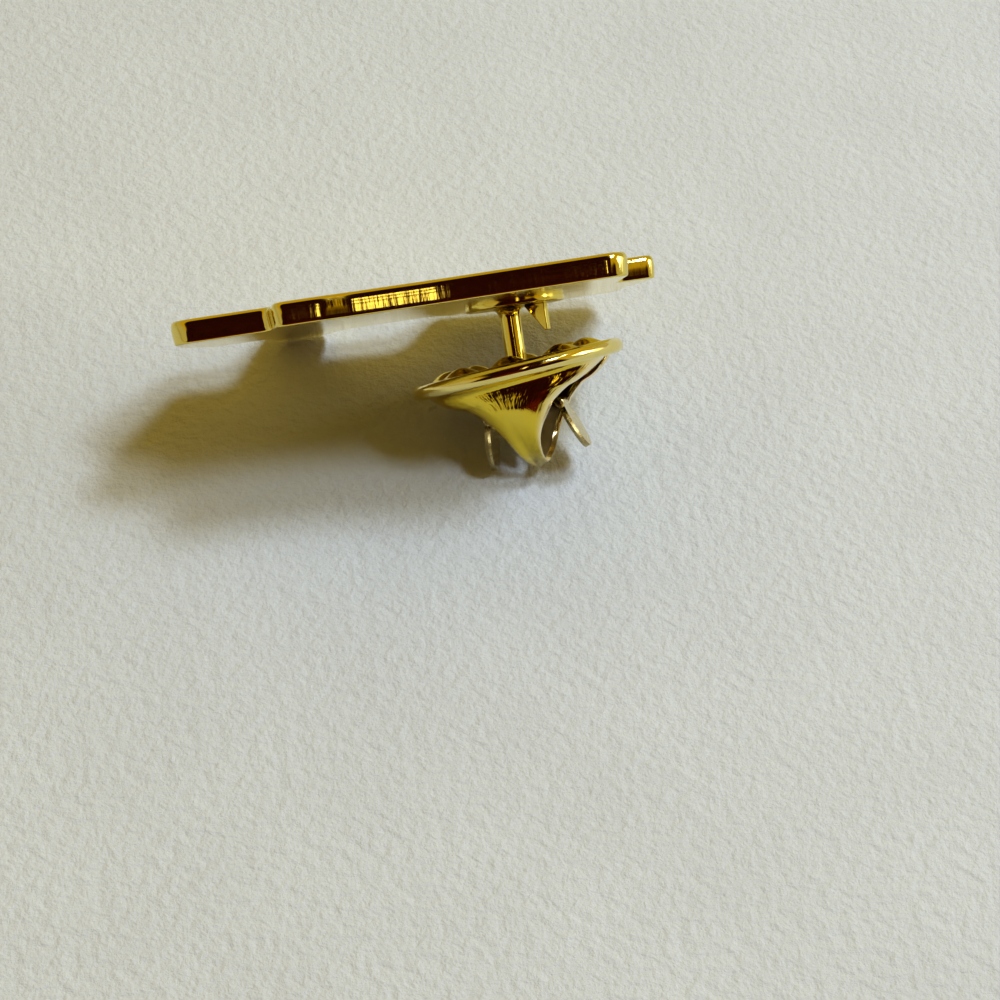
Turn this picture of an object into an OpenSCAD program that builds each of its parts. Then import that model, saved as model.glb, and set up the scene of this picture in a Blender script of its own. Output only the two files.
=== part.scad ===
// Lapel pin with a butterfly clutch, lying on a table as it comes to rest.
// The badge is drawn flat first: x along its length, y towards its upper edge, z from its
// back face along the post. The clutch has its own axes: x between the wings, z along its
// axis away from the badge. rest_pose() then leans the whole pin over onto the table.

/* [Badge] */
// Thickness of the struck plate
plate_t = 1.2; // [1:0.05:1.6]
// Width of the raised border on the face
border_w = 1.1; // [0.8:0.1:1.4]
// Depth of the sunk ground inside the border
ground_depth = 0.3; // [0.1:0.05:0.5]
// Lowest edge of the badge, below the post
foot_y = -7.8; // [-8.4:0.1:-7.4]

/* [Post] */
// Diameter of the post
post_d = 1.1; // [0.9:0.05:1.2]
// Length of the post from the back of the badge
post_l = 8.05; // [7.5:0.05:8.1]
// Length of the pointed end of the post
point_l = 0.9; // [0.6:0.1:1.2]
// Diameter of the round pad that carries the post
pad_d = 5.3; // [4:0.1:6]
// Thickness of the pad
pad_t = 0.3; // [0.2:0.05:0.4]
// Distance of the pad's middle to the right of the post
pad_shift = 0.35; // [0:0.05:0.5]
// Diameter of the solder fillet at the pad
fillet_d = 2.0; // [1.4:0.1:2.4]
// Height of the solder fillet
fillet_h = 0.6; // [0.3:0.1:0.8]

/* [Spur] */
// Length of the spur's foot on the pad
spur_l = 1.25; // [1:0.05:1.4]
// Thickness of the spur
spur_t = 0.4; // [0.3:0.05:0.6]
// Height of the spur above the pad
spur_h = 1.45; // [1:0.05:1.6]
// Turn of the spur about its own upright
spur_turn = 35; // [0:5:40]

/* [Clutch] */
// Outer diameter of the clutch's rolled rim
clutch_d = 11.5; // [11.3:0.1:11.7]
// Thickness of the rolled rim
rim_t = 0.8; // [0.7:0.05:0.9]
// Thickness of the clutch's sheet metal
sheet_t = 0.3; // [0.25:0.05:0.35]
// Distance from the back of the badge to the middle of the rim
clutch_gap = 3.6; // [3.4:0.1:3.8]
// Slant of the clutch on its post
clutch_slant = 5.4; // [0:0.1:5.6]
// Turn of the clutch's walls about its axis
clutch_turn = 24; // [16:1:26]
// Number of raised nubs on the clutch's front plate
nub_count = 8; // [6:1:10]
// Height of the nubs
nub_h = 0.42; // [0.3:0.02:0.5]
// Diameter of the nubs at their foot
nub_d = 1.8; // [1.4:0.1:1.8]
// Radius of the ring that the nubs stand on
nub_ring_r = 3.75; // [3.5:0.05:3.75]

/* [Wings] */
// Turn of the wings about the clutch's axis, a little less than that of the walls
wing_turn = 14; // [8:1:20]
// Width of each wing
wing_w = 2.85; // [2.6:0.05:2.9]
// Thickness of each wing
wing_t = 0.3; // [0.25:0.05:0.35]
// Length of a wing outside its knuckle
wing_l = 2.75; // [2.5:0.05:2.9]
// Radius of the knuckle that a wing turns on
knuckle_r = 0.25; // [0.2:0.01:0.3]
// Width of a wing at its knuckle, between the walls
neck_w = 2.0; // [1.8:0.1:2.1]

/* [Rest] */
// How far the badge leans over from upright, resting on its left foot and on the clutch
rest_lean = 41.7; // [41:0.1:43]
// How far the pin rolls down to its left, until the left wing touches the table
rest_roll = 5.1; // [4:0.1:6]
// Middle of the pin's footprint, to the right of the post
footprint_x = -5.12; // [-6:0.01:-4]
// Middle of the pin's footprint, behind the post
footprint_y = -0.67; // [-2:0.01:0]

/* [Hidden] */

GOLD = "#c9a13b";
PALE_GOLD = "#d9bd66";
ROUND = 64;
ARC_STEPS = 8;
EPS = 0.01;

// Corners of the badge, anticlockwise from the upper right, each with its radius.
X = 0;
Y = 1;
RADIUS = 2;
CORNERS = [
    [5.1, 11.3, 1.1], [-4.0, 10.25, 14], [-8.5, 10.3, 3], [-9.9, 10.55, 3],
    [-12.2, 10.45, 0.7], [-12.5, 7.5, 0.5], [-17.4, 7.2, 1.2], [-17.3, 3.2, 1.8],
    [-15.9, -2.2, 1.0], [-12.8, -2.4, 0.5], [-12.4, foot_y, 0.9], [-9.4, foot_y, 0.9],
    [-8.7, -4.4, 1.0], [-3.7, -4.6, 1.2], [-2.6, foot_y, 0.9], [7.1, foot_y, 0.9],
    [6.9, -2.7, 0.3], [7.55, -0.4, 0.5], [7.5, 3.7, 0.6], [5.4, 4.0, 0.5]
];

// Sections of one wall of the clutch, from the rim to its top: the height, half the
// width, the distance from the clutch's middle plane at the centre and at the edge, and
// how far the edges drop below the centre.
HEIGHT = 0;
HALF_WIDTH = 1;
MIDDLE = 2;
EDGE = 3;
DROP = 4;
WALL = [
    [0.12, 5.25, 5.22, 0.20, 0.00], [0.42, 4.96, 3.80, 0.38, 0.00],
    [0.66, 4.66, 3.34, 0.72, 0.00], [0.98, 4.14, 3.24, 1.12, 0.00],
    [1.28, 3.50, 3.19, 1.36, 0.00], [1.50, 2.86, 3.15, 1.48, 0.00],
    [2.00, 2.12, 3.06, 1.66, 0.00], [2.60, 1.60, 2.80, 1.74, 0.00],
    [3.20, 1.16, 2.42, 1.76, 0.00], [3.80, 0.86, 1.98, 1.64, 0.03],
    [4.40, 0.68, 1.45, 1.30, 0.08], [4.95, 0.54, 0.80, 0.74, 0.16],
    [5.28, 0.46, 0.00, 0.00, 0.22]
];
WALL_COLUMNS = 12;
ROW_SPLIT = 2;

post_r = post_d / 2;
bore_r = post_r + 0.06;
rim_r = rim_t / 2;
rim_ring_r = clutch_d / 2 - rim_r;
plate_r = rim_ring_r - rim_r - 0.1;
plate_back = -0.12;
plate_front = plate_back - sheet_t + 0.04;

// Where each wing's knuckle lies and how far the wing leans out.
RIGHT_KNUCKLE = [1.85, 2.2];
LEFT_KNUCKLE = [-2.1, 2.2];
RIGHT_SPREAD = 18;
LEFT_SPREAD = 8;
JAW_HEIGHT = 1.1;
JAW_GAP = 0.1;

function unit(v) = v / norm(v);
function xy(corner) = [corner[X], corner[Y]];
function left_of(v) = [-v[1], v[0]];

// One corner moved inwards by a distance, with its radius changed to suit.
function inset_corner(before, at, after, by) =
    let (
        in_dir = unit(xy(at) - xy(before)),
        out_dir = unit(xy(after) - xy(at)),
        n1 = left_of(in_dir),
        n2 = left_of(out_dir),
        moved = xy(at) + (n1 + n2) * by / (1 + n1 * n2),
        outward = cross(in_dir, out_dir) > 0 ? 1 : -1
    )
    [moved[0], moved[1], max(0.2, at[RADIUS] - outward * by)];

function inset_corners(corners, by) =
    let (n = len(corners))
    [for (i = [0 : n - 1])
        inset_corner(corners[(i + n - 1) % n], corners[i], corners[(i + 1) % n], by)];

// The centre of the arc that rounds one corner, and the arc itself.
function corner_centre(before, at, after) =
    let (
        a = unit(xy(before) - xy(at)),
        b = unit(xy(after) - xy(at))
    )
    xy(at) + unit(a + b) * at[RADIUS] / sin(acos(a * b) / 2);

function corner_arc(before, at, after) =
    let (
        a = unit(xy(before) - xy(at)),
        b = unit(xy(after) - xy(at)),
        reach = at[RADIUS] / tan(acos(a * b) / 2),
        start = xy(at) + a * reach,
        finish = xy(at) + b * reach,
        centre = corner_centre(before, at, after)
    )
    [for (k = [0 : ARC_STEPS])
        centre + at[RADIUS] * unit((start - centre) * (1 - k / ARC_STEPS)
            + (finish - centre) * k / ARC_STEPS)];

function rounded(corners) =
    let (n = len(corners))
    [for (i = [0 : n - 1])
        each corner_arc(corners[(i + n - 1) % n], corners[i], corners[(i + 1) % n])];

// The rounded lower left corner of the badge is the foot that the pin stands on.
LEFT_FOOT = 10;
foot_radius = CORNERS[LEFT_FOOT][RADIUS];
foot_centre = corner_centre(CORNERS[LEFT_FOOT - 1], CORNERS[LEFT_FOOT], CORNERS[LEFT_FOOT + 1]);
table_up = [sin(rest_roll), cos(rest_roll) * cos(rest_lean), -cos(rest_roll) * sin(rest_lean)];
rest_height = foot_radius * norm([table_up[0], table_up[1]])
    - foot_centre[0] * table_up[0] - foot_centre[1] * table_up[1];

// The pin as it lies: the badge leans over the clutch, and the pin rolls to its left.
module rest_pose() {
    translate([-footprint_x, -footprint_y, rest_height])
        rotate([0, -rest_roll, 0])
            rotate([90 + rest_lean, 0, 0])
                children();
}

module on_clutch() {
    translate([0, 0, clutch_gap])
        rotate([0, clutch_slant, 0])
            rotate([0, 0, clutch_turn])
                children();
}

// Struck plate: a raised border round a sunk ground on the face, which is at the back here.
module struck_plate() {
    difference() {
        translate([0, 0, -plate_t])
            linear_extrude(plate_t)
                polygon(rounded(CORNERS));
        translate([0, 0, -plate_t - EPS])
            linear_extrude(ground_depth + EPS)
                polygon(rounded(inset_corners(CORNERS, border_w)));
    }
}

module post() {
    cylinder(h = post_l - point_l, r = post_r, $fn = ROUND);
    translate([0, 0, post_l - point_l])
        cylinder(h = point_l, r1 = post_r, r2 = 0.12, $fn = ROUND);
    translate([0, 0, pad_t])
        cylinder(h = fillet_h, r1 = fillet_d / 2, r2 = post_r, $fn = ROUND);
}

// A blade with one upright side that keeps the badge from turning on the cloth.
module spur() {
    translate([1.85, 0.3, pad_t - EPS])
        rotate([0, 0, spur_turn])
            rotate([90, 0, 0])
                linear_extrude(spur_t)
                    polygon([[-spur_l, 0], [0, 0], [0, spur_h], [-0.18, spur_h]]);
}

module badge() {
    color(GOLD)
        rest_pose()
            union() {
                struck_plate();
                translate([pad_shift, 0, -EPS])
                    cylinder(h = pad_t + EPS, d = pad_d, $fn = ROUND);
                post();
                spur();
            }
}

module nubs() {
    foot_r = nub_d / 2;
    ball_r = (foot_r * foot_r + nub_h * nub_h) / (2 * nub_h);
    for (k = [0 : nub_count - 1])
        rotate([0, 0, k * 360 / nub_count - clutch_turn / 2])
            translate([nub_ring_r, 0, plate_front + ball_r - nub_h])
                sphere(r = ball_r, $fn = ROUND);
}

module clutch_plate() {
    color(GOLD)
        rest_pose()
            on_clutch()
                difference() {
                    union() {
                        translate([0, 0, plate_front])
                            cylinder(h = plate_back - plate_front, r = plate_r, $fn = ROUND);
                        nubs();
                    }
                    translate([0, 0, plate_back])
                        cylinder(h = 2, r = clutch_d, $fn = ROUND);
                    translate([0, 0, -2])
                        cylinder(h = 4, r = bore_r, $fn = ROUND);
                }
}

// The wall's sections, up one side and down the other.
function mirrored_section(s) = [s[HEIGHT], s[HALF_WIDTH], -s[MIDDLE], -s[EDGE], s[DROP]];
LAST = len(WALL) - 1;
SECTIONS = concat(WALL, [for (k = [LAST - 1 : -1 : 0]) mirrored_section(WALL[k])]);
ROWS = (len(SECTIONS) - 1) * ROW_SPLIT;

// A smooth curve through the sections.
function section_at(row) =
    let (
        k = min(floor(row), len(SECTIONS) - 2),
        t = row - k,
        s0 = SECTIONS[max(k - 1, 0)],
        s1 = SECTIONS[k],
        s2 = SECTIONS[k + 1],
        s3 = SECTIONS[min(k + 2, len(SECTIONS) - 1)]
    )
    0.5 * (2 * s1 + (s2 - s0) * t + (2 * s0 - 5 * s1 + 4 * s2 - s3) * t * t
        + (3 * s1 - s0 - 3 * s2 + s3) * t * t * t);

function wall_point(row, across) =
    let (s = section_at(row))
    [
        s[HALF_WIDTH] * sin(90 * across),
        s[EDGE] + (s[MIDDLE] - s[EDGE]) * cos(90 * across),
        s[HEIGHT] - s[DROP] * (1 - cos(90 * across))
    ];

function wall_inward(row, across) =
    let (
        step = 0.06,
        last_row = len(SECTIONS) - 1,
        along = wall_point(min(row + step, last_row), across)
            - wall_point(max(row - step, 0), across),
        over = wall_point(row, min(across + step, 1)) - wall_point(row, max(across - step, -1))
    )
    unit(cross(over, along));

// The walls and the top of the clutch: one bent strip of sheet.
module wall_strip() {
    columns = WALL_COLUMNS;
    width = columns + 1;
    outer = [for (r = [0 : ROWS], c = [0 : columns])
        wall_point(r / ROW_SPLIT, 2 * c / columns - 1)];
    inner = [for (r = [0 : ROWS], c = [0 : columns])
        wall_point(r / ROW_SPLIT, 2 * c / columns - 1)
            + sheet_t * wall_inward(r / ROW_SPLIT, 2 * c / columns - 1)];
    layer = len(outer);
    skin = [for (r = [0 : ROWS - 1], c = [0 : columns - 1])
        let (k = r * width + c)
        each [[k, k + 1, k + width + 1], [k, k + width + 1, k + width]]];
    lining = [for (face = skin) [face[2] + layer, face[1] + layer, face[0] + layer]];
    side_edges = [for (r = [0 : ROWS - 1])
        let (a = r * width, b = a + columns)
        each [
            [a, a + width, a + layer], [a + width, a + width + layer, a + layer],
            [b + width, b, b + layer], [b + width, b + layer, b + width + layer]
        ]];
    end_edges = [for (c = [0 : columns - 1])
        let (a = c, b = ROWS * width + c)
        each [
            [a + 1, a, a + layer], [a + 1, a + layer, a + 1 + layer],
            [b, b + 1, b + layer], [b + 1, b + 1 + layer, b + layer]
        ]];
    polyhedron(concat(outer, inner), concat(skin, lining, side_edges, end_edges));
}

module clutch_shell() {
    color(GOLD)
        rest_pose()
            on_clutch() {
                rotate_extrude($fn = ROUND)
                    translate([rim_ring_r, 0])
                        circle(r = rim_r, $fn = ROUND / 2);
                wall_strip();
            }
}

// A wing with its knuckle and its jaw: the round tab leans out, and the jaw reaches to the
// post.
module wing(knuckle, spread) {
    side = sign(knuckle[0]);
    post_at = -JAW_HEIGHT * tan(clutch_slant);
    jaw_x = post_at + side * (post_r + JAW_GAP + wing_t / 2);
    jaw_run = knuckle[0] - jaw_x;
    jaw_rise = knuckle[1] - JAW_HEIGHT;
    translate([knuckle[0], 0, knuckle[1]]) {
        rotate([0, side * spread, 0])
            rotate([90, 0, 90])
                translate([0, 0, -wing_t / 2])
                    linear_extrude(wing_t) {
                        translate([-neck_w / 2, 0])
                            square([neck_w, wing_l - wing_w / 2]);
                        translate([0, wing_l - wing_w / 2])
                            circle(d = wing_w, $fn = ROUND);
                    }
        translate([0, neck_w / 2, 0])
            rotate([90, 0, 0])
                cylinder(h = neck_w, r = knuckle_r, $fn = ROUND);
        rotate([0, atan2(-jaw_run, -jaw_rise), 0])
            translate([-wing_t / 2, -neck_w / 2, 0])
                cube([wing_t, neck_w, norm([jaw_run, jaw_rise])]);
    }
}

module left_wing() {
    color(PALE_GOLD)
        rest_pose()
            on_clutch()
                rotate([0, 0, wing_turn - clutch_turn])
                    wing(LEFT_KNUCKLE, LEFT_SPREAD);
}

module right_wing() {
    color(PALE_GOLD)
        rest_pose()
            on_clutch()
                rotate([0, 0, wing_turn - clutch_turn])
                    wing(RIGHT_KNUCKLE, RIGHT_SPREAD);
}

badge();
clutch_plate();
clutch_shell();
left_wing();
right_wing();
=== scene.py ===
# A gold-plated lapel pin lying on paper: a struck badge with a soldered post and spur, held
# by a butterfly clutch. Lengths are millimetres in the badge's own axes: x along the badge,
# y towards its upper edge, z from its back along the post. REST leans it over as it lies.
from math import acos, atan2, ceil, cos, hypot, pi, radians, sin, tan

import bmesh
import bpy
from mathutils import Matrix, Vector


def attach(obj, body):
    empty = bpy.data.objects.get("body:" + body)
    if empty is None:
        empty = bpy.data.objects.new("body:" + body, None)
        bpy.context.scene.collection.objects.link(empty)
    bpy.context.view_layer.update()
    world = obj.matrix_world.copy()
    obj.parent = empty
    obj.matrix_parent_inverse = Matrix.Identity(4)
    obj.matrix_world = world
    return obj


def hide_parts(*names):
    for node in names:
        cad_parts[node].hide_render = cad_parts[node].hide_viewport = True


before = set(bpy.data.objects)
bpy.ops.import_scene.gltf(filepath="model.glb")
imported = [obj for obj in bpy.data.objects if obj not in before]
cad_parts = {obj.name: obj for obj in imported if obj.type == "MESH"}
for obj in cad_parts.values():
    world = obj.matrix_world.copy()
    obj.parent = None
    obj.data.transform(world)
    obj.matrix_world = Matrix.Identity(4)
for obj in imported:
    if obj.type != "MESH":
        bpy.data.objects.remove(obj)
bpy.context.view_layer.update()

# The badge
# A brass blank struck in a die, trimmed to its outline in a press, then polished and plated
# with gold. The trimming leaves a sheared edge with fine upright lines, and the face keeps
# a raised border round a sunk ground.
MM = 0.001
PLATE_T = 1.2
GROUND_Z = -0.9
FOOT_Y = -7.8
LEAN, ROLL = 41.7, 5.1
LIES_AT = (5.12, 0.67, 6.8335)
# Each corner's x, y and radius, from the upper right round to the left.
CORNERS = [
    (5.1, 11.3, 1.1), (-4.0, 10.25, 14), (-8.5, 10.3, 3), (-9.9, 10.55, 3),
    (-12.2, 10.45, 0.7), (-12.5, 7.5, 0.5), (-17.4, 7.2, 1.2), (-17.3, 3.2, 1.8),
    (-15.9, -2.2, 1.0), (-12.8, -2.4, 0.5), (-12.4, FOOT_Y, 0.9), (-9.4, FOOT_Y, 0.9),
    (-8.7, -4.4, 1.0), (-3.7, -4.6, 1.2), (-2.6, FOOT_Y, 0.9), (7.1, FOOT_Y, 0.9),
    (6.9, -2.7, 0.3), (7.55, -0.4, 0.5), (7.5, 3.7, 0.6), (5.4, 4.0, 0.5),
]
REST = (
    Matrix.Translation(LIES_AT)
    @ Matrix.Rotation(radians(-ROLL), 4, "Y")
    @ Matrix.Rotation(radians(90 + LEAN), 4, "X")
)
METRES = Matrix.Scale(MM, 4)
LEAST_RADIUS = 0.04
ARC_STEP, SIDE_STEP = 0.12, 0.15


def corners_inset(by):
    """The badge's corners moved inwards, each with its radius changed to suit."""
    moved = []
    for i, (x, y, radius) in enumerate(CORNERS):
        at = Vector((x, y))
        before = (at - Vector(CORNERS[i - 1][:2])).normalized()
        after = (Vector(CORNERS[(i + 1) % len(CORNERS)][:2]) - at).normalized()
        n1, n2 = Vector((-before.y, before.x)), Vector((-after.y, after.x))
        outward = 1 if before.cross(after) > 0 else -1
        moved.append((at + (n1 + n2) * by / (1 + n1.dot(n2)),
                      max(LEAST_RADIUS, radius - outward * by)))
    return moved


def badge_outline(by):
    """Points round the badge, inset by a distance. Every inset gives the same number."""
    corners = corners_inset(by)
    points = []
    for i, (at, radius) in enumerate(corners):
        a = (corners[i - 1][0] - at).normalized()
        b = (corners[(i + 1) % len(corners)][0] - at).normalized()
        half = a.angle(b) / 2
        start, finish = at + a * radius / tan(half), at + b * radius / tan(half)
        centre = at + (a + b).normalized() * radius / sin(half)
        turn = (start - centre).angle_signed(finish - centre)
        steps = max(6, ceil(abs(turn) * CORNERS[i][2] / ARC_STEP))
        for k in range(steps + 1):
            spoke = (start - centre).copy()
            spoke.rotate(Matrix.Rotation(-turn * k / steps, 2))
            points.append(centre + spoke)
        following = corners[(i + 1) % len(corners)]
        spacing = (Vector(CORNERS[(i + 1) % len(CORNERS)][:2]) - Vector(CORNERS[i][:2])).length
        c = (corners[(i + 2) % len(corners)][0] - following[0]).normalized()
        reach = following[1] / tan((-b).angle(c) / 2)
        nearer = following[0] - b * reach
        runs = ceil(spacing / SIDE_STEP)
        points += [finish.lerp(nearer, k / runs) for k in range(1, runs)]
    return points


def face_outwards(made):
    """Turns a closed mesh's faces outwards, which makes its signed volume positive."""
    bmesh.ops.recalc_face_normals(made, faces=made.faces)
    if made.calc_volume(signed=True) < 0:
        bmesh.ops.reverse_faces(made, faces=made.faces)


def lay_down(made, name, body, material, place=None, joined=False):
    """Turns a closed mesh drawn in millimetres into a piece of the pin. One that is joined
    from several closed parts has had each of them faced outwards already."""
    if not joined:
        face_outwards(made)
    data = bpy.data.meshes.new(name)
    made.to_mesh(data)
    made.free()
    data.transform(METRES @ REST @ (place or Matrix.Identity(4)))
    data.shade_smooth()
    piece = bpy.data.objects.new(name, data)
    bpy.context.scene.collection.objects.link(piece)
    data.materials.append(material)
    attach(piece, body)
    return piece


def even_shading(piece):
    """Large faces keep their own normals, so the rounded edges take all of the turn."""
    piece.modifiers.new("even shading", "WEIGHTED_NORMAL").keep_sharp = True


def skin_between(made, rings, closed=True):
    """Joins rings of vertices with four-sided faces."""
    faces = []
    for lower, upper in zip(rings, rings[1:]):
        count = len(lower)
        for k in range(count if closed else count - 1):
            n = (k + 1) % count
            faces.append(made.faces.new((lower[k], lower[n], upper[n], upper[k])))
    return faces


def add(tree, kind, settings=None, links=None):
    """Adds one node with its settings and the sockets that feed it."""
    made = tree.nodes.new(kind)
    for key, value in (settings or {}).items():
        if isinstance(key, int) or key in made.inputs:
            made.inputs[key].default_value = value
        else:
            setattr(made, key, value)
    for key, socket in (links or {}).items():
        tree.links.new(socket, made.inputs[key])
    return made


def paint(code):
    """An sRGB hex colour as the linear colour that the shader works in."""
    parts = [int(code[k : k + 2], 16) / 255 for k in (1, 3, 5)]
    return [c / 12.92 if c <= 0.04045 else ((c + 0.055) / 1.055) ** 2.4 for c in parts] + [1]


def blank_metal(name):
    """A metal with no nodes yet but its shader, whose IOR stays at the default."""
    material = bpy.data.materials.new(name)
    material.use_nodes = True
    tree = material.node_tree
    shader = tree.nodes["Principled BSDF"]
    shader.inputs["Metallic"].default_value = 1
    return material, tree, shader


def per_metre(size):
    """The scale of a pattern whose marks are so many millimetres apart."""
    return 1 / (size * MM)


# Polished gold plate: nearly a mirror, with the slight waviness that buffing leaves and faint
# hairlines from handling. The hairlines are drawn coarser than the real ones, so they show.
GOLD = "#ecd766"
GOLD_DEEP = "#e4cc46"
GOLD_PALE = "#ecdc8a"
BUFFING_WAVE, HAIRLINES = 2.0, 0.25


def polished_plate(name, deep, pale, waviness=0.02, roughness=0.07):
    """Gold plate in two tones, with a waviness in millimetres."""
    material, tree, shader = blank_metal(name)
    place = add(tree, "ShaderNodeTexCoord")
    wave = add(tree, "ShaderNodeTexNoise", {"Scale": per_metre(BUFFING_WAVE), "Detail": 1.0},
               {"Vector": place.outputs["Object"]})
    grain = add(tree, "ShaderNodeTexNoise",
                {"Scale": per_metre(HAIRLINES), "Detail": 3.0, "Roughness": 0.6},
                {"Vector": place.outputs["Object"]})
    tone = add(tree, "ShaderNodeMix", {"data_type": "RGBA", 6: paint(deep), 7: paint(pale)},
               {0: wave.outputs["Fac"]})
    tree.links.new(tone.outputs[2], shader.inputs["Base Color"])
    rough = add(tree, "ShaderNodeMapRange",
                {"From Min": 0.3, "From Max": 0.8, "To Min": roughness,
                 "To Max": roughness * 2.2}, {"Value": grain.outputs["Fac"]})
    tree.links.new(rough.outputs[0], shader.inputs["Roughness"])
    bump = add(tree, "ShaderNodeBump", {"Strength": 1.0, "Distance": waviness * MM},
               {"Height": wave.outputs["Fac"]})
    tree.links.new(bump.outputs[0], shader.inputs["Normal"])
    return material


# The sheared edge: a mirror with fine upright lines and narrow flats that lean a little each
# way, so it flashes in small blocks. The metal tore most in the notch between the feet, where
# the lines are deepest, and they fade to either side of it.
SHEAR_LINES, FLATS = 1 / 6, 0.5
TORN_DEPTH, CLEAN_DEPTH = 0.022, 0.004
TORN_REACH, CLEAN_FROM = 3.5, 6.0


def sheared_plate(torn_at):
    """The edge's plate, torn_at so many millimetres along the outline."""
    material, tree, shader = blank_metal("gold plate on a sheared brass edge")
    shader.inputs["Base Color"].default_value = paint(GOLD_PALE)
    flat = add(tree, "ShaderNodeUVMap", {"uv_map": "edge"})
    stretch = add(tree, "ShaderNodeMapping", {"Scale": (1.0, 0.1, 1.0)},
                  {"Vector": flat.outputs["UV"]})
    lines = add(tree, "ShaderNodeTexNoise",
                {"noise_dimensions": "2D", "Scale": 1 / SHEAR_LINES, "Detail": 2.0,
                 "Roughness": 0.5},
                {"Vector": stretch.outputs[0]})
    flats = add(tree, "ShaderNodeTexVoronoi",
                {"voronoi_dimensions": "2D", "feature": "SMOOTH_F1", "Scale": 1 / FLATS,
                 "Smoothness": 0.3},
                {"Vector": stretch.outputs[0]})
    height = add(tree, "ShaderNodeMath", {"operation": "MULTIPLY_ADD", 1: 1.2},
                 {0: flats.outputs["Distance"], 2: lines.outputs["Fac"]})
    along_edge = add(tree, "ShaderNodeSeparateXYZ", {}, {0: flat.outputs["UV"]})
    away = add(tree, "ShaderNodeMath", {"operation": "SUBTRACT", 1: torn_at},
               {0: along_edge.outputs["X"]})
    away = add(tree, "ShaderNodeMath", {"operation": "ABSOLUTE"}, {0: away.outputs[0]})
    torn = add(tree, "ShaderNodeMapRange",
               {"interpolation_type": "SMOOTHSTEP", "From Min": TORN_REACH,
                "From Max": CLEAN_FROM, "To Min": TORN_DEPTH * MM, "To Max": CLEAN_DEPTH * MM},
               {"Value": away.outputs[0]})
    bump = add(tree, "ShaderNodeBump", {"Strength": 1.0},
               {"Height": height.outputs[0], "Distance": torn.outputs[0]})
    tree.links.new(bump.outputs[0], shader.inputs["Normal"])
    rough = add(tree, "ShaderNodeMapRange", {"To Min": 0.05, "To Max": 0.14},
                {"Value": lines.outputs["Fac"]})
    tree.links.new(rough.outputs[0], shader.inputs["Roughness"])
    return material


# The sunk ground is sandblasted before plating, so that it is matt against the border. The
# grit is drawn at about a tenth of a millimetre, coarser than the real one, so it shows.
GRIT, GRIT_DEPTH = 1 / 9, 0.012


def blasted_plate():
    material, tree, shader = blank_metal("gold plate on a sandblasted ground")
    place = add(tree, "ShaderNodeTexCoord")
    grit = add(tree, "ShaderNodeTexNoise", {"Scale": per_metre(GRIT), "Detail": 2.0},
               {"Vector": place.outputs["Object"]})
    tone = add(tree, "ShaderNodeMix",
               {"data_type": "RGBA", 6: paint(GOLD_DEEP), 7: paint(GOLD)},
               {0: grit.outputs["Fac"]})
    tree.links.new(tone.outputs[2], shader.inputs["Base Color"])
    shader.inputs["Roughness"].default_value = 0.38
    bump = add(tree, "ShaderNodeBump", {"Strength": 0.8, "Distance": GRIT_DEPTH * MM},
               {"Height": grit.outputs["Fac"]})
    tree.links.new(bump.outputs[0], shader.inputs["Normal"])
    return material


# Inset and height of each ring, from the back round the edge and over the border.
BACK_ROUND = [(0.15, 0.0), (0.10, -0.02), (0.075, -0.055), (0.06, -0.11)]
SHEARED_SIDE = [(0.044, -0.25), (0.026, -0.4), (0.009, -0.55), (0.0, -0.68), (0.0, -0.82)]
FACE_ROUND = [(0.004, -0.93), (0.03, -1.04), (0.08, -1.13), (0.16, -1.185), (0.28, -PLATE_T)]
BORDER_STEP = [(0.6, -PLATE_T), (0.98, -PLATE_T), (1.06, -1.17), (1.10, -1.1),
               (1.12, -0.97), (1.15, -0.92), (1.22, GROUND_Z)]
PROFILE = BACK_ROUND + SHEARED_SIDE + FACE_ROUND + BORDER_STEP
NOTCH = Vector((-6.0, -4.5))

made = bmesh.new()
edge_map = made.loops.layers.uv.new("edge")
base = badge_outline(0)
along = [0.0]
for a, b in zip(base, base[1:] + base[:1]):
    along.append(along[-1] + (b - a).length)
rings = [[made.verts.new((p.x, p.y, z)) for p in badge_outline(by)] for by, z in PROFILE]
count = len(base)
for row, (lower, upper) in enumerate(zip(rings, rings[1:])):
    sheared = len(BACK_ROUND) - 1 <= row < len(BACK_ROUND) + len(SHEARED_SIDE)
    for k in range(count):
        n = (k + 1) % count
        face = made.faces.new((lower[k], lower[n], upper[n], upper[k]))
        face.material_index = 1 if sheared else 0
        spots = [(along[k], row), (along[k + 1], row),
                 (along[k + 1], row + 1), (along[k], row + 1)]
        for loop, (u, v) in zip(face.loops, spots):
            loop[edge_map].uv = (u, PROFILE[v][1])
made.faces.new(rings[0])
ground = made.faces.new(rings[-1])
ground.material_index = 2
gold = polished_plate("polished gold plate on struck brass", GOLD, GOLD_PALE)
plate = lay_down(made, "badge_plate", "badge", gold)
torn_at = along[min(range(count), key=lambda k: (base[k] - NOTCH).length)]
plate.data.materials.append(sheared_plate(torn_at))
plate.data.materials.append(blasted_plate())
even_shading(plate)
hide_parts("badge")

# The pad, post and spur
# A turned brass post with a round pad at its foot, soldered to the badge's back before
# plating. The spur is a small blade beside it that keeps the badge from turning on cloth.
PAD_D, PAD_T, PAD_SHIFT = 5.3, 0.3, 0.35
PAD_ROUND, PAD_SUNK = 0.09, 0.05
POST_R, POST_L, POINT_L = 0.55, 8.05, 0.9
FILLET_W, FILLET_H = 0.43, 0.55
SPUR_L, SPUR_T, SPUR_H = 1.25, 0.4, 1.45
SPUR_AT, SPUR_TURN = (1.85, 0.3, PAD_T - 0.01), 35


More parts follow.
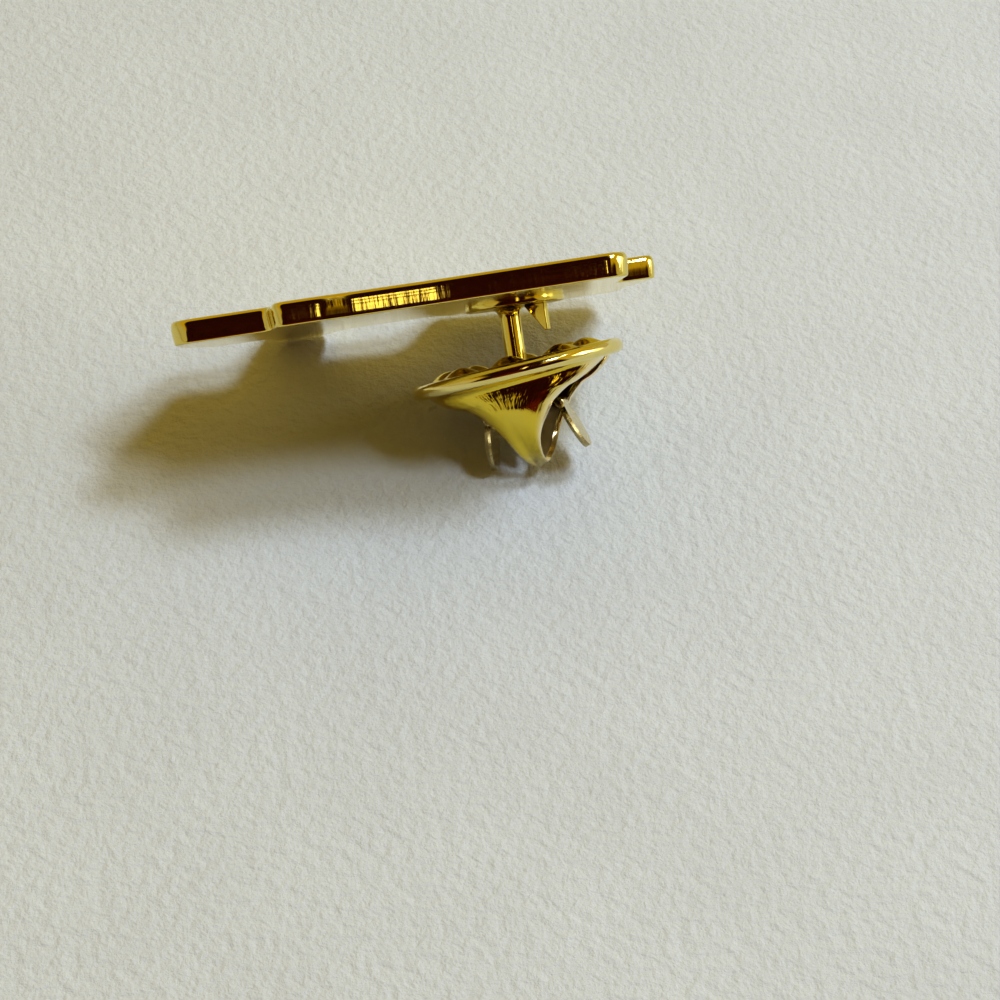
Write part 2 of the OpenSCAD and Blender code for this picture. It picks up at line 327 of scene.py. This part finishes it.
def turned(profile, steps=96):
    """A solid of revolution about z from (radius, height) pairs, closed where radius is 0."""
    made = bmesh.new()
    rings = []
    for radius, height in profile:
        if radius == 0:
            rings.append([made.verts.new((0, 0, height))])
        else:
            rings.append([made.verts.new((radius * cos(2 * pi * k / steps),
                                          radius * sin(2 * pi * k / steps), height))
                          for k in range(steps)])
    for lower, upper in zip(rings, rings[1:]):
        for k in range(steps):
            n = (k + 1) % steps
            corners = [lower[k % len(lower)], lower[n % len(lower)],
                       upper[n % len(upper)], upper[k % len(upper)]]
            made.faces.new(list(dict.fromkeys(corners)))
    return made


pad_r = PAD_D / 2
pad_profile = [(0, -PAD_SUNK), (pad_r, -PAD_SUNK), (pad_r, 0.0), (pad_r, PAD_T - PAD_ROUND),
               (pad_r - 0.03, PAD_T - 0.03), (pad_r - PAD_ROUND, PAD_T), (pad_r - 0.4, PAD_T),
               (0.6, PAD_T), (0, PAD_T)]
pad = lay_down(turned(pad_profile), "post_pad", "badge", gold,
               Matrix.Translation((PAD_SHIFT, 0, 0)))
even_shading(pad)

fillet = [(POST_R + FILLET_W * (1 - sin(a)), PAD_T + FILLET_H * (1 - cos(a)))
          for a in [pi / 2 * k / 8 for k in range(9)]]
shaft_end = POST_L - POINT_L
post_profile = ([(0, 0.2), (POST_R + FILLET_W, 0.2)] + fillet
                + [(POST_R, 2.0), (POST_R, 4.5), (POST_R, shaft_end - 0.1),
                   (POST_R - 0.02, shaft_end), (0.2, POST_L - 0.08), (0.1, POST_L), (0, POST_L)])
post = lay_down(turned(post_profile), "post", "badge", gold)

made = bmesh.new()
blade = [(-SPUR_L, 0.0), (0.0, 0.0), (0.0, SPUR_H), (-0.18, SPUR_H)]
front = [made.verts.new((x, 0, z)) for x, z in blade]
back = [made.verts.new((x, -SPUR_T, z)) for x, z in blade]
made.faces.new(front)
made.faces.new(back[::-1])
skin_between(made, [back, front])
bmesh.ops.bevel(made, geom=made.edges[:], offset=0.05, segments=3, profile=0.6, affect="EDGES")
spur_place = Matrix.Translation(SPUR_AT) @ Matrix.Rotation(radians(SPUR_TURN), 4, "Z")
spur = lay_down(made, "spur", "badge", gold, spur_place)
even_shading(spur)

# The clutch's front plate
# Thin brass stamped with a ring of eight soft nubs that bite into the cloth, and pierced for
# the post. The shell's rim is rolled over its edge to hold it.
CLUTCH_GAP, CLUTCH_SLANT, CLUTCH_TURN = 3.6, 5.4, 24
NUB_COUNT, NUB_H, NUB_RING_R, NUB_REACH = 8, 0.42, 3.75, 1.06
ON_CLUTCH = (
    Matrix.Translation((0, 0, CLUTCH_GAP))
    @ Matrix.Rotation(radians(CLUTCH_SLANT), 4, "Y")
    @ Matrix.Rotation(radians(CLUTCH_TURN), 4, "Z")
)
PLATE_BACK, PLATE_FRONT = -0.12, -0.38
BORE_R, FRONT_R = 0.61, 4.85
RINGS, STEPS_ROUND = 44, 256


def nub_rise(x, y):
    """How far the front plate stands up at a point: rounded nubs with soft feet."""
    rise = 0.0
    for k in range(NUB_COUNT):
        a = 2 * pi * k / NUB_COUNT - radians(CLUTCH_TURN) / 2
        away = hypot(x - NUB_RING_R * cos(a), y - NUB_RING_R * sin(a)) / NUB_REACH
        if away < 1:
            rise = max(rise, cos(pi * away / 2) ** 1.25)
    return rise * NUB_H


def ring_at(made, radius, height_at):
    """A ring of vertices round the post, each at the height for its place."""
    turns = [2 * pi * k / STEPS_ROUND for k in range(STEPS_ROUND)]
    spots = [(radius * cos(a), radius * sin(a)) for a in turns]
    return [made.verts.new((x, y, height_at(x, y))) for x, y in spots]


def flat_back(x, y):
    return PLATE_BACK


def nubbed_front(x, y):
    return PLATE_FRONT - nub_rise(x, y)


made = bmesh.new()
rings = [ring_at(made, BORE_R, flat_back)]
rings += [ring_at(made, BORE_R + (FRONT_R - BORE_R) * k / RINGS, nubbed_front)
          for k in range(RINGS + 1)]
rings.append(ring_at(made, FRONT_R, flat_back))
skin_between(made, rings + [rings[0]])
# Stamping leaves the plate wavier and less bright than the struck badge.
stamped = polished_plate("polished gold plate on stamped brass", GOLD_DEEP, GOLD, 0.03, 0.09)
front = lay_down(made, "clutch_front", "clutch", stamped, ON_CLUTCH)
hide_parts("clutch_plate")

# The clutch's shell
# One piece of thin brass sheet, pressed into a dish whose edge is rolled over the front plate
# and drawn up into two walls that meet over the post. The wings come out between the walls.
RIM_RING_R, RIM_R, SHEET_T = 5.35, 0.4, 0.3
SHARP_TURN = radians(50)
HEIGHT, HALF_WIDTH, MIDDLE, EDGE, DROP = range(5)
# One wall's sections from the rim to the top: how high, how wide to each side, how far out the
# sheet stands at its middle and at its free edges, and how far those edges droop.
WALL = [
    (0.12, 5.25, 5.22, 0.20, 0.00), (0.42, 4.96, 3.80, 0.38, 0.00),
    (0.66, 4.66, 3.34, 0.72, 0.00), (0.98, 4.14, 3.24, 1.12, 0.00),
    (1.28, 3.50, 3.19, 1.36, 0.00), (1.50, 2.86, 3.15, 1.48, 0.00),
    (2.00, 2.12, 3.06, 1.66, 0.00), (2.60, 1.60, 2.80, 1.74, 0.00),
    (3.20, 1.16, 2.42, 1.76, 0.00), (3.80, 0.86, 1.98, 1.64, 0.03),
    (4.40, 0.68, 1.45, 1.30, 0.08), (4.95, 0.54, 0.80, 0.74, 0.16),
    (5.28, 0.46, 0.00, 0.00, 0.22),
]
SECTIONS = WALL + [(s[0], s[1], -s[2], -s[3], s[4]) for s in WALL[-2::-1]]
LAST = len(SECTIONS) - 1
ROWS_PER_SECTION, COLUMNS = 6, 40


def section_at(row):
    """A smooth curve through the wall's sections."""
    k = min(int(row), LAST - 1)
    t = row - k
    s0, s1 = SECTIONS[max(k - 1, 0)], SECTIONS[k]
    s2, s3 = SECTIONS[k + 1], SECTIONS[min(k + 2, LAST)]
    return [0.5 * (2 * b + (c - a) * t + (2 * a - 5 * b + 4 * c - d) * t * t
                   + (3 * b - a - 3 * c + d) * t * t * t)
            for a, b, c, d in zip(s0, s1, s2, s3)]


def wall_point(row, across):
    """A point on the outside of the sheet, from -1 to 1 across it."""
    s = section_at(row)
    return Vector((s[HALF_WIDTH] * sin(pi / 2 * across),
                   s[EDGE] + (s[MIDDLE] - s[EDGE]) * cos(pi / 2 * across),
                   s[HEIGHT] - s[DROP] * (1 - cos(pi / 2 * across))))


def wall_inward(row, across):
    """The direction from the outside of the sheet to its inside."""
    step = 0.06
    up = wall_point(min(row + step, LAST), across) - wall_point(max(row - step, 0), across)
    over = wall_point(row, min(across + step, 1)) - wall_point(row, max(across - step, -1))
    return over.cross(up).normalized()


# The bent sheet's outside: polished like the rest, with its free edges paler, partly wear and
# partly a painted highlight, and its top paler as a painted highlight.
# Bending draws the sheet into long streaks, and each wall bulges to one side as it rises.
PALE_WEAR_AND_HIGHLIGHT = "#fbf0d0"
PALE_EDGE_FROM, PALE_EDGE_AT = 0.5, 0.95
TOP_FROM, TOP_AT, TOP_HIGHLIGHT = 2.2, 0.6, 0.45
STREAK_SCALE, STREAK_DEPTH = (22.0, 0.5, 1.0), 0.02
BULGE_FOOT, BULGE_TOP, BULGE_ACROSS, BULGE_HEIGHT = 11.0, 6.0, (-0.2, 0.9), 0.6


def bent_plate():
    """Polished plate that reads the UV map "sheet": across it, and sections from its top."""
    material = polished_plate("polished gold plate on bent sheet", GOLD_DEEP, GOLD, 0.02, 0.06)
    tree = material.node_tree
    shader = tree.nodes["Principled BSDF"]
    tone = shader.inputs["Base Color"].links[0].from_socket
    normal = shader.inputs["Normal"].links[0].from_socket
    spot = add(tree, "ShaderNodeUVMap", {"uv_map": "sheet"}).outputs["UV"]
    sheet = add(tree, "ShaderNodeSeparateXYZ", {}, {0: spot})
    off_middle = add(tree, "ShaderNodeMath", {"operation": "ABSOLUTE"}, {0: sheet.outputs["X"]})
    # Paler free edges are partly wear and partly a painted highlight; the paler top is a painted
    # highlight.
    wear_and_highlight_edge = add(tree, "ShaderNodeMapRange",
                    {"interpolation_type": "SMOOTHSTEP", "From Min": PALE_EDGE_FROM,
                     "From Max": PALE_EDGE_AT}, {"Value": off_middle.outputs[0]})
    highlight_top = add(tree, "ShaderNodeMapRange",
                   {"interpolation_type": "SMOOTHSTEP", "From Min": TOP_FROM,
                    "From Max": TOP_AT, "To Max": TOP_HIGHLIGHT}, {"Value": sheet.outputs["Y"]})
    wear_and_highlight = add(tree, "ShaderNodeMath", {"operation": "MAXIMUM"},
               {0: wear_and_highlight_edge.outputs[0], 1: highlight_top.outputs[0]})
    tone = add(tree, "ShaderNodeMix", {"data_type": "RGBA", 7: paint(PALE_WEAR_AND_HIGHLIGHT)},
               {0: wear_and_highlight.outputs[0], 6: tone})
    tree.links.new(tone.outputs[2], shader.inputs["Base Color"])
    stretch = add(tree, "ShaderNodeMapping", {"Scale": STREAK_SCALE}, {0: spot})
    streaks = add(tree, "ShaderNodeTexNoise",
                  {"noise_dimensions": "2D", "Scale": 1.0, "Detail": 2.0},
                  {"Vector": stretch.outputs[0]})
    rising = add(tree, "ShaderNodeMapRange",
                 {"interpolation_type": "SMOOTHSTEP", "From Min": BULGE_FOOT,
                  "From Max": BULGE_TOP}, {"Value": sheet.outputs["Y"]})
    sideways = add(tree, "ShaderNodeMapRange",
                   {"interpolation_type": "SMOOTHSTEP", "From Min": BULGE_ACROSS[0],
                    "From Max": BULGE_ACROSS[1]}, {"Value": sheet.outputs["X"]})
    bulge = add(tree, "ShaderNodeMath", {"operation": "MULTIPLY"},
                {0: rising.outputs[0], 1: sideways.outputs[0]})
    streaked = add(tree, "ShaderNodeBump", {"Strength": 1.0, "Distance": STREAK_DEPTH * MM},
                   {"Height": streaks.outputs["Fac"], "Normal": normal})
    bulged = add(tree, "ShaderNodeBump", {"Strength": 1.0, "Distance": BULGE_HEIGHT * MM},
                 {"Height": bulge.outputs[0], "Normal": streaked.outputs[0]})
    tree.links.new(bulged.outputs[0], shader.inputs["Normal"])
    return material


# Inside the walls the buffing wheel can't reach, so the brass is satin. Its colour is painted
# light and shade: pale at the top where light falls on it, dark red-brown down towards the front
# plate.
PAINTED_LIT_INSIDE, PAINTED_SHADE_INSIDE, SHADE_EDGE_GRAIN = "#fff6e4", "#5c1410", 0.4


def satin_plate():
    material, tree, shader = blank_metal("satin brass inside the walls, painted lit and shaded")
    place = add(tree, "ShaderNodeTexCoord")
    grain = add(tree, "ShaderNodeTexNoise", {"Scale": per_metre(SHADE_EDGE_GRAIN), "Detail": 3.0},
                {"Vector": place.outputs["Object"]})
    sheet = add(tree, "ShaderNodeSeparateXYZ", {},
                {0: add(tree, "ShaderNodeUVMap", {"uv_map": "sheet"}).outputs["UV"]})
    depth = add(tree, "ShaderNodeMath", {"operation": "MULTIPLY_ADD", 1: 0.8},
                {0: grain.outputs["Fac"], 2: sheet.outputs["Y"]})
    painted_shade = add(tree, "ShaderNodeMapRange",
                 {"interpolation_type": "SMOOTHSTEP", "From Min": 4.9, "From Max": 5.7},
                 {"Value": depth.outputs[0]})
    # Pale is painted light at the top; dark red-brown lower down is painted shade.
    tone = add(tree, "ShaderNodeMix",
               {"data_type": "RGBA", 6: paint(PAINTED_LIT_INSIDE), 7: paint(PAINTED_SHADE_INSIDE)},
               {0: painted_shade.outputs[0]})
    tree.links.new(tone.outputs[2], shader.inputs["Base Color"])
    shader.inputs["Metallic"].default_value = 0.15
    shader.inputs["Roughness"].default_value = 0.42
    return material


made = bmesh.new()
sheet_map = made.loops.layers.uv.new("sheet")
outer, inner, sheet_spot = [], [], {}
for r in range(LAST * ROWS_PER_SECTION + 1):
    spots = [(r / ROWS_PER_SECTION, 2 * c / COLUMNS - 1) for c in range(COLUMNS + 1)]
    outer.append([made.verts.new(wall_point(*spot)) for spot in spots])
    inner.append([made.verts.new(wall_point(*spot) + SHEET_T * wall_inward(*spot))
                  for spot in spots])
    for row in (outer[-1], inner[-1]):
        for vert, (along_sheet, across_sheet) in zip(row, spots):
            sheet_spot[vert] = (across_sheet, abs(along_sheet - LAST / 2))
skin_between(made, outer, closed=False)
for face in skin_between(made, inner, closed=False):
    face.material_index = 1
for side in (0, -1):
    skin_between(made, [[row[side] for row in outer], [row[side] for row in inner]], closed=False)
for end in (0, -1):
    skin_between(made, [outer[end], inner[end]], closed=False)
for face in made.faces:
    for loop in face.loops:
        loop[sheet_map].uv = sheet_spot[loop.vert]
edges = [e for e in made.edges
         if len(e.link_faces) == 2 and e.calc_face_angle(0) > SHARP_TURN]
bmesh.ops.bevel(made, geom=edges, offset=0.08, segments=3, profile=0.5, affect="EDGES")
walls = lay_down(made, "clutch_walls", "clutch", bent_plate(), ON_CLUTCH)
walls.data.materials.append(satin_plate())
even_shading(walls)
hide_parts("clutch_shell")

rim_profile = [(RIM_RING_R + RIM_R * cos(a), RIM_R * sin(a))
               for a in [2 * pi * k / 28 for k in range(28)]]
made = turned(rim_profile + rim_profile[:1], steps=160)
bmesh.ops.remove_doubles(made, verts=made.verts, dist=1e-5)
# Rolled over the front plate, the rim is painted paler and brighter than the sheet below it, a
# painted sheen.
rolled = polished_plate("polished gold plate on a rolled edge", GOLD_PALE, "#f4e6a8")
rim = lay_down(made, "clutch_rim", "clutch", rolled, ON_CLUTCH)

# The wings
# Two tabs of spring brass, each turning on a knuckle inside the shell. Squeezing their tips
# together turns their jaws away from the post and frees the clutch.
WING_W, WING_T, WING_L, KNUCKLE_R = 2.85, 0.3, 2.75, 0.25
NECK_W, WING_TURN = 2.0, 14
JAW_HEIGHT, JAW_GAP = 1.1, 0.1
# Where each wing's knuckle is on the clutch, and how far its tab leans out in degrees.
WINGS = {"left_wing": (-2.1, 2.2, 8), "right_wing": (1.85, 2.2, 18)}
ARC_POINTS = 40

# Tumbled before plating, so the wings are paler than the clutch and softly shiny.
tumbled = polished_plate("pale gold plate on tumbled spring brass", "#d8c48a", "#e9dcae",
                         roughness=0.16)
for name, (knuckle_x, knuckle_z, spread) in WINGS.items():
    side = 1 if knuckle_x > 0 else -1
    made = bmesh.new()
    middle, radius = WING_L - WING_W / 2, WING_W / 2
    shoulder = -acos(NECK_W / WING_W)
    outline = [(-NECK_W / 2, 0.0), (NECK_W / 2, 0.0)]
    for k in range(ARC_POINTS + 1):
        a = shoulder + (pi - 2 * shoulder) * k / ARC_POINTS
        outline.append((radius * cos(a), middle + radius * sin(a)))
    near = [made.verts.new((WING_T / 2, y, z)) for y, z in outline]
    far = [made.verts.new((-WING_T / 2, y, z)) for y, z in outline]
    made.faces.new(near)
    made.faces.new(far[::-1])
    skin_between(made, [far, near])
    sharp = [e for e in made.edges if e.calc_face_angle(0) > SHARP_TURN]
    bmesh.ops.bevel(made, geom=sharp, offset=0.1, segments=3, profile=0.5, affect="EDGES")
    knuckle = (ON_CLUTCH @ Matrix.Rotation(radians(WING_TURN - CLUTCH_TURN), 4, "Z")
               @ Matrix.Translation((knuckle_x, 0, knuckle_z)))
    tab = lay_down(made, name + "_tab", name, tumbled,
                   knuckle @ Matrix.Rotation(radians(side * spread), 4, "Y"))
    even_shading(tab)
    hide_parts(name)

    post_at = -JAW_HEIGHT * tan(radians(CLUTCH_SLANT))
    jaw_run = knuckle_x - post_at - side * (POST_R + JAW_GAP + WING_T / 2)
    jaw_rise = knuckle_z - JAW_HEIGHT
    jaw_turn = atan2(-jaw_run, -jaw_rise)
    jaw_l = hypot(jaw_run, jaw_rise)
    end, corner = NECK_W / 2, 0.05
    made = turned([(0, -end), (KNUCKLE_R - corner, -end), (KNUCKLE_R, -end + corner),
                   (KNUCKLE_R, 0), (KNUCKLE_R, end - corner), (KNUCKLE_R - corner, end),
                   (0, end)], steps=40)
    made.transform(Matrix.Rotation(pi / 2, 4, "X"))
    jaw = bmesh.new()
    bmesh.ops.create_cube(jaw, size=1)
    jaw.transform(Matrix.Rotation(jaw_turn, 4, "Y") @ Matrix.Translation((0, 0, jaw_l / 2))
                  @ Matrix.Diagonal((WING_T, NECK_W, jaw_l, 1)))
    bmesh.ops.bevel(jaw, geom=jaw.edges[:], offset=0.06, segments=3, profile=0.5, affect="EDGES")
    face_outwards(made)
    face_outwards(jaw)
    whole = bpy.data.meshes.new("jaw")
    jaw.to_mesh(whole)
    jaw.free()
    made.from_mesh(whole)
    grip = lay_down(made, name + "_jaw", name, tumbled, knuckle, joined=True)
    even_shading(grip)

# The paper
# Plain white drawing paper, matt and faintly mottled. Its tooth is drawn coarser than the
# real one, so it shows as a fine roughness all over.
TOOTH, TOOTH_DEPTH, MOTTLE = 2 / 3, 0.2, 25 / 3
bpy.ops.mesh.primitive_plane_add(size=3)
floor = bpy.context.object
floor.name = "paper"
paper = bpy.data.materials.new("uncoated white paper")
paper.use_nodes = True
tree = paper.node_tree
shader = tree.nodes["Principled BSDF"]
shader.inputs["Roughness"].default_value = 0.9
place = add(tree, "ShaderNodeTexCoord")
tooth = add(tree, "ShaderNodeTexNoise",
            {"Scale": per_metre(TOOTH), "Detail": 4.0, "Roughness": 0.6},
            {"Vector": place.outputs["Object"]})
mottle = add(tree, "ShaderNodeTexNoise", {"Scale": per_metre(MOTTLE), "Detail": 3.0},
             {"Vector": place.outputs["Object"]})
tone = add(tree, "ShaderNodeMix", {"data_type": "RGBA", 6: paint("#d9d9d5"), 7: paint("#e3e4e0")},
           {0: mottle.outputs["Fac"]})
tree.links.new(tone.outputs[2], shader.inputs["Base Color"])
bump = add(tree, "ShaderNodeBump", {"Strength": 0.9, "Distance": TOOTH_DEPTH * MM},
           {"Height": tooth.outputs["Fac"]})
tree.links.new(bump.outputs[0], shader.inputs["Normal"])
floor.data.materials.append(paper)

# Light
# Two small lamps high on the right throw the two-part shadow, a third beside them softens it,
# and a wide low window gives the highlights. The gold mirrors a room that is pale low down
# and golden higher up, with dark cards on its near side.
AIM = Vector((0.002, -0.001, 0.006))


def towards(elevation, azimuth):
    """A direction, from degrees above the table and degrees round from +X."""
    el, az = radians(elevation), radians(azimuth)
    return Vector((cos(el) * cos(az), cos(el) * sin(az), sin(el)))


def lamp(name, direction, distance, width, height, power, colour):
    """An area lamp, in metres and watts, turned to the pin."""
    data = bpy.data.lights.new(name, "AREA")
    data.shape = "RECTANGLE"
    data.size = width
    data.size_y = height
    data.energy = power
    data.color = paint(colour)[:3]
    light = bpy.data.objects.new(name, data)
    light.location = AIM + direction * distance
    light.rotation_mode = "QUATERNION"
    light.rotation_quaternion = direction.to_track_quat("Z", "Y")
    bpy.context.scene.collection.objects.link(light)


lamp("main window", towards(62.5, -25), 0.6, 0.1, 0.1, 1.1, "#cce0ff")
lamp("ceiling lamp", towards(66, 12), 0.6, 0.1, 0.1, 1.1, "#cce0ff")
lamp("window behind", towards(59, 14), 0.6, 0.14, 0.1, 0.4, "#cce0ff")
lamp("low window", towards(25, -6), 0.8, 0.36, 0.32, 1.0, "#e6f0ff")

world = bpy.data.worlds.new("room")
bpy.context.scene.world = world
world.use_nodes = True
tree = world.node_tree
sky = tree.nodes["Background"]
look = add(tree, "ShaderNodeTexCoord").outputs["Generated"]


def seen_towards(direction, soft_from, full_from, vector=look):
    """How nearly a world direction lies along another, from 0 outside to 1 inside."""
    facing = add(tree, "ShaderNodeVectorMath", {"operation": "DOT_PRODUCT", 1: direction},
                 {0: vector})
    edge = add(tree, "ShaderNodeMapRange",
               {"interpolation_type": "SMOOTHSTEP", "From Min": cos(radians(soft_from)),
                "From Max": cos(radians(full_from))}, {"Value": facing.outputs["Value"]})
    return edge.outputs[0]


# The room: pale plaster low down and golden above, with a dark ceiling over the near side.
ROOM_LOW, ROOM_HIGH, DARK_CEILING = "#bcb496", "#c4aa38", "#2c1a10"
height = add(tree, "ShaderNodeSeparateXYZ", {}, {0: look})
rise = add(tree, "ShaderNodeMapRange", {"From Min": 0.3, "From Max": 0.5},
           {"Value": height.outputs["Z"]})
walls_of_room = add(tree, "ShaderNodeMix",
                    {"data_type": "RGBA", 6: paint(ROOM_LOW), 7: paint(ROOM_HIGH)},
                    {0: rise.outputs[0]})
colour = add(tree, "ShaderNodeMix", {"data_type": "RGBA", 7: paint(DARK_CEILING)},
             {0: seen_towards(towards(65, -131), 38, 27), 6: walls_of_room.outputs[2]})

# Two dark cards on the near side, one wide and low and one round above it, which the badge's
# edge and the near wall mirror as dark. Their red-brown blotches are about a degree across.
CARD_DARK, CARD_RED, BLOTCHES = "#24100a", "#602616", 48.0
flat = add(tree, "ShaderNodeVectorMath", {"operation": "MULTIPLY", 1: (1, 1, 0)}, {0: look})
level = add(tree, "ShaderNodeVectorMath", {"operation": "NORMALIZE"}, {0: flat.outputs[0]})
wide = seen_towards(towards(0, -92), 53, 47, level.outputs[0])
low_down = add(tree, "ShaderNodeMapRange",
               {"interpolation_type": "SMOOTHSTEP", "From Min": 0.72, "From Max": 0.55},
               {"Value": height.outputs["Z"]})
wide_card = add(tree, "ShaderNodeMath", {"operation": "MULTIPLY"},
                {0: wide, 1: low_down.outputs[0]})
cards = add(tree, "ShaderNodeMath", {"operation": "MAXIMUM"},
            {0: wide_card.outputs[0], 1: seen_towards(towards(50, -106), 29, 26.5)})
blotches = add(tree, "ShaderNodeTexNoise", {"Scale": BLOTCHES, "Detail": 2.0}, {"Vector": look})
blotch = add(tree, "ShaderNodeMapRange",
             {"interpolation_type": "SMOOTHSTEP", "From Min": 0.5, "From Max": 0.64},
             {"Value": blotches.outputs["Fac"]})
card = add(tree, "ShaderNodeMix", {"data_type": "RGBA", 6: paint(CARD_DARK), 7: paint(CARD_RED)},
           {0: blotch.outputs[0]})
colour = add(tree, "ShaderNodeMix", {"data_type": "RGBA"},
             {0: cards.outputs[0], 6: colour.outputs[2], 7: card.outputs[2]})

# Small things in the room, each as elevation, azimuth, soft and full reach in degrees, and
# colour: a bright wall, a brown card, and three warm lamps above one another.
BRIGHT_WALL, BROWN_CARD, WARM_LAMP = [1.3, 1.25, 1.1, 1], paint("#6a2c14"), [1.9, 1.6, 0.8, 1]
IN_THE_ROOM = [(8, 3, 15, 9, BRIGHT_WALL), (8, -103, 18, 12, BROWN_CARD)]
IN_THE_ROOM += [(elevation, -92, 3.5, 2, WARM_LAMP) for elevation in (39, 46, 53)]
for elevation, azimuth, soft_from, full_from, shade in IN_THE_ROOM:
    seen = seen_towards(towards(elevation, azimuth), soft_from, full_from)
    colour = add(tree, "ShaderNodeMix", {"data_type": "RGBA", 7: shade},
                 {0: seen, 6: colour.outputs[2]})
tree.links.new(colour.outputs[2], sky.inputs["Color"])

# The camera
# Held close above the near side of the pin, looking down at 50 degrees along the badge's edge.
camera_data = bpy.data.cameras.new("camera")
camera_data.lens = 80.6
camera_data.sensor_width = 36
camera_data.clip_start = 0.005
camera = bpy.data.objects.new("camera", camera_data)
camera.location = (-0.013342, -0.081627, 0.090806)
camera.rotation_euler = (radians(39.992), radians(-2.831), radians(-9.542))
bpy.context.scene.collection.objects.link(camera)
bpy.context.scene.camera = camera
bpy.context.scene.view_settings.view_transform = "Standard"
bpy.context.scene.view_settings.look = "High Contrast"
bpy.context.scene.view_settings.exposure = -0.35
